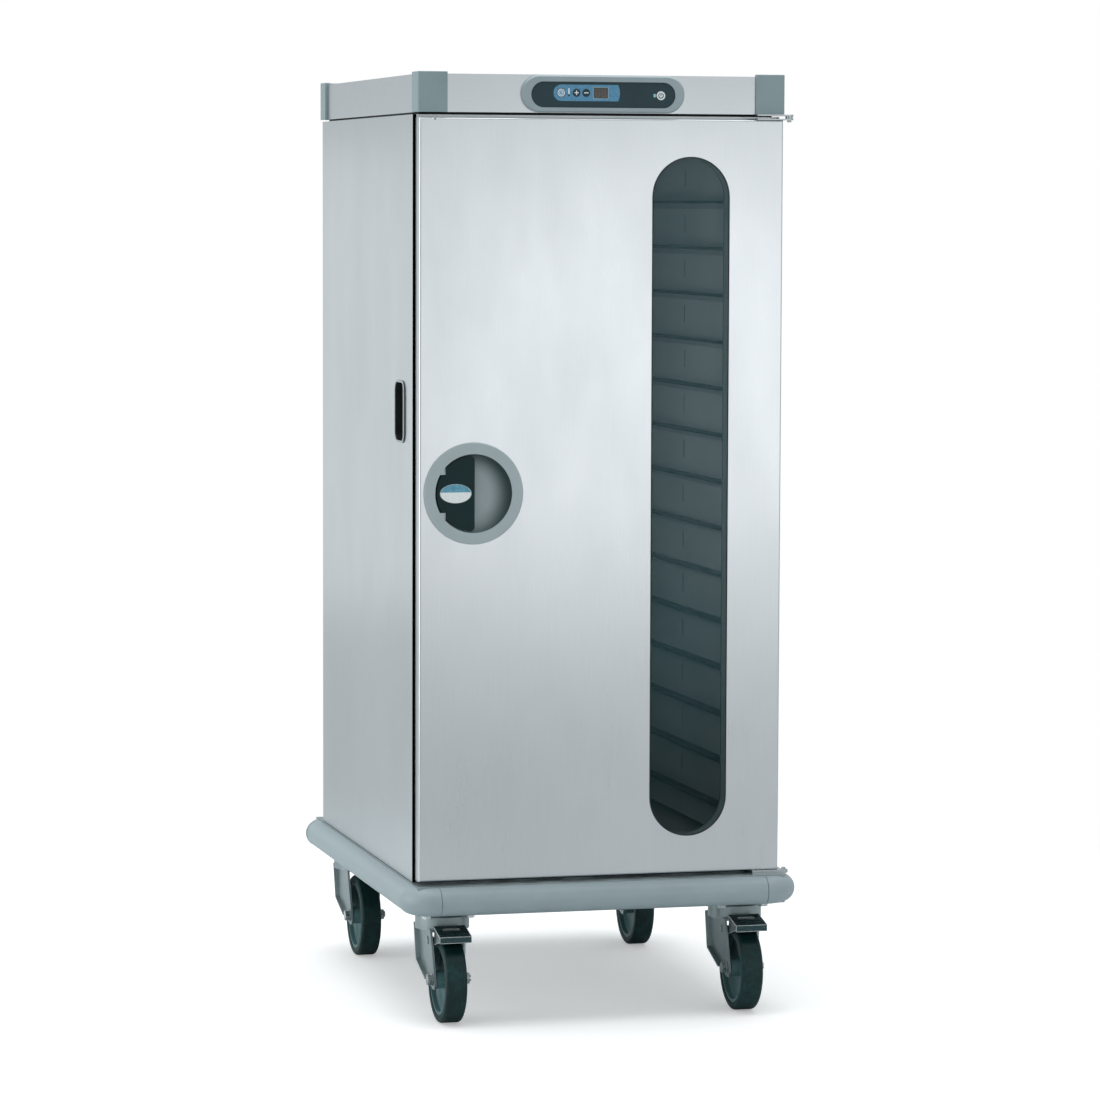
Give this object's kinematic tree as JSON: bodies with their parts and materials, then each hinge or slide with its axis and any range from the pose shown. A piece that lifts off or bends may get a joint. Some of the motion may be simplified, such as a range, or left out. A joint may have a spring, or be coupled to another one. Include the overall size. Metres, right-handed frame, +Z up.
{
  "type": "insulated food carrier",
  "caption": "Tall heated stainless cabinet on casters, with runners for catering pans, a windowed door, a recessed paddle handle and a top control strip.",
  "frame": {"origin": "on the floor, under the middle of the bumper's rectangle", "axes": "+Z up, the door faces -Y, +X towards the hinge side"},
  "size_m": [0.7558, 0.9938, 1.74],
  "materials": {
    "stainless_door": "satin",
    "stainless_body": "satin",
    "stainless_cavity": "satin",
    "zinc_steel": "satin",
    "bright_steel": "polished",
    "grey_plastic": "satin",
    "bumper_grey": "satin",
    "dark_plastic": "satin",
    "smoked_glass": "gloss",
    "dark_rubber": "matte",
    "tyre_rubber": "matte",
    "wheel_nylon": "satin",
    "mineral_wool": "matte",
    "motor_metal": "satin",
    "circuit_board": "matte"
  },
  "bodies": {
    "cabinet": {"base_frame": "zinc_steel", "bumper_corners": "bumper_grey", "bumper_rails": "bumper_grey", "caster_plates": "zinc_steel", "control_bezel": "grey_plastic", "control_board": "circuit_board", "control_panel": "dark_plastic", "corner_caps": "grey_plastic", "duct_panel": "stainless_cavity", "fan_motor": "motor_metal", "fasteners": "bright_steel", "front_frame": "stainless_body", "heating_element": "motor_metal", "hinge_plates": "zinc_steel", "inner_liner": "stainless_cavity", "insulation": "mineral_wool", "power_inlet": "dark_plastic", "rear_cover": "stainless_body", "rear_panel": "stainless_body", "rim_fascias": "stainless_body", "roof_panel": "stainless_body", "runner_panels": "stainless_cavity", "side_grips": "grey_plastic", "side_panel_left": "stainless_body", "side_panel_right": "stainless_body", "strike_plate": "zinc_steel", "top_deck": "dark_plastic"},
    "door": {"door_outer_skin": "stainless_door", "door_inner_skin": "stainless_body", "door_insulation": "mineral_wool", "window_panes": "smoked_glass", "window_gasket": "dark_rubber", "door_gasket": "dark_rubber", "handle_cup": "grey_plastic", "hinge_lugs": "zinc_steel"},
    "handle": {"handle_paddle": "dark_plastic", "latch_hook": "bright_steel"},
    "fan": {"fan_impeller": "motor_metal"},
    "timer_button": {"timer_button": "dark_plastic"},
    "plus_button": {"plus_button": "dark_plastic"},
    "minus_button": {"minus_button": "dark_plastic"},
    "power_button": {"power_button": "dark_plastic"},
    "swivel_front_left": {"fork_front_left": "zinc_steel", "axle_front_left": "bright_steel"},
    "wheel_front_left": {"tyre_front_left": "tyre_rubber", "wheel_core_front_left": "wheel_nylon"},
    "swivel_front_right": {"fork_front_right": "zinc_steel", "axle_front_right": "bright_steel"},
    "wheel_front_right": {"tyre_front_right": "tyre_rubber", "wheel_core_front_right": "wheel_nylon"},
    "swivel_rear_left": {"fork_rear_left": "zinc_steel", "axle_rear_left": "bright_steel"},
    "wheel_rear_left": {"tyre_rear_left": "tyre_rubber", "wheel_core_rear_left": "wheel_nylon"},
    "swivel_rear_right": {"fork_rear_right": "zinc_steel", "axle_rear_right": "bright_steel"},
    "wheel_rear_right": {"tyre_rear_right": "tyre_rubber", "wheel_core_rear_right": "wheel_nylon"},
    "brake_front_left": {"brake_pedal_front_left": "bright_steel"},
    "brake_front_right": {"brake_pedal_front_right": "bright_steel"}
  },
  "joints": [
    {"name": "door_hinge", "type": "hinge", "parent": "cabinet", "child": "door", "pos_m": [0.354, -0.447, 0.9], "axis": [0, 0, 1], "range_deg": [0, 265]},
    {"name": "handle_pull", "type": "hinge", "parent": "door", "child": "handle", "pos_m": [-0.306, -0.438, 0.9765], "axis": [0, 0, 1], "range_deg": [-25, 0], "stiffness_Nm_per_rad": 0.6, "springref_deg": 11.46},
    {"name": "fan_spin", "type": "hinge", "parent": "cabinet", "child": "fan", "pos_m": [0, 0.34, 0.96], "axis": [0, 1, 0], "continuous": true},
    {"name": "timer_button_press", "type": "slide", "parent": "cabinet", "child": "timer_button", "axis": [0, 1, 0], "range_m": [0, 0.0008], "stiffness_N_per_m": 600},
    {"name": "plus_button_press", "type": "slide", "parent": "cabinet", "child": "plus_button", "axis": [0, 1, 0], "range_m": [0, 0.0008], "stiffness_N_per_m": 600},
    {"name": "minus_button_press", "type": "slide", "parent": "cabinet", "child": "minus_button", "axis": [0, 1, 0], "range_m": [0, 0.0008], "stiffness_N_per_m": 600},
    {"name": "power_button_press", "type": "slide", "parent": "cabinet", "child": "power_button", "axis": [0, 1, 0], "range_m": [0, 0.0008], "stiffness_N_per_m": 600},
    {"name": "swivel_front_left", "type": "hinge", "parent": "cabinet", "child": "swivel_front_left", "pos_m": [-0.282, -0.371, 0.18], "axis": [0, 0, 1], "continuous": true},
    {"name": "roll_front_left", "type": "hinge", "parent": "swivel_front_left", "child": "wheel_front_left", "pos_m": [-0.282, -0.416, 0.08], "axis": [1, 0, 0], "continuous": true},
    {"name": "swivel_front_right", "type": "hinge", "parent": "cabinet", "child": "swivel_front_right", "pos_m": [0.282, -0.371, 0.18], "axis": [0, 0, 1], "continuous": true},
    {"name": "roll_front_right", "type": "hinge", "parent": "swivel_front_right", "child": "wheel_front_right", "pos_m": [0.282, -0.416, 0.08], "axis": [1, 0, 0], "continuous": true},
    {"name": "swivel_rear_left", "type": "hinge", "parent": "cabinet", "child": "swivel_rear_left", "pos_m": [-0.282, 0.371, 0.18], "axis": [0, 0, 1], "continuous": true},
    {"name": "roll_rear_left", "type": "hinge", "parent": "swivel_rear_left", "child": "wheel_rear_left", "pos_m": [-0.282, 0.326, 0.08], "axis": [1, 0, 0], "continuous": true},
    {"name": "swivel_rear_right", "type": "hinge", "parent": "cabinet", "child": "swivel_rear_right", "pos_m": [0.282, 0.371, 0.18], "axis": [0, 0, 1], "continuous": true},
    {"name": "roll_rear_right", "type": "hinge", "parent": "swivel_rear_right", "child": "wheel_rear_right", "pos_m": [0.282, 0.326, 0.08], "axis": [1, 0, 0], "continuous": true},
    {"name": "brake_front_left", "type": "hinge", "parent": "swivel_front_left", "child": "brake_front_left", "pos_m": [-0.282, -0.396, 0.15], "axis": [1, 0, 0], "range_deg": [0, 12]},
    {"name": "brake_front_right", "type": "hinge", "parent": "swivel_front_right", "child": "brake_front_right", "pos_m": [0.282, -0.396, 0.15], "axis": [1, 0, 0], "range_deg": [0, 12]}
  ]
}
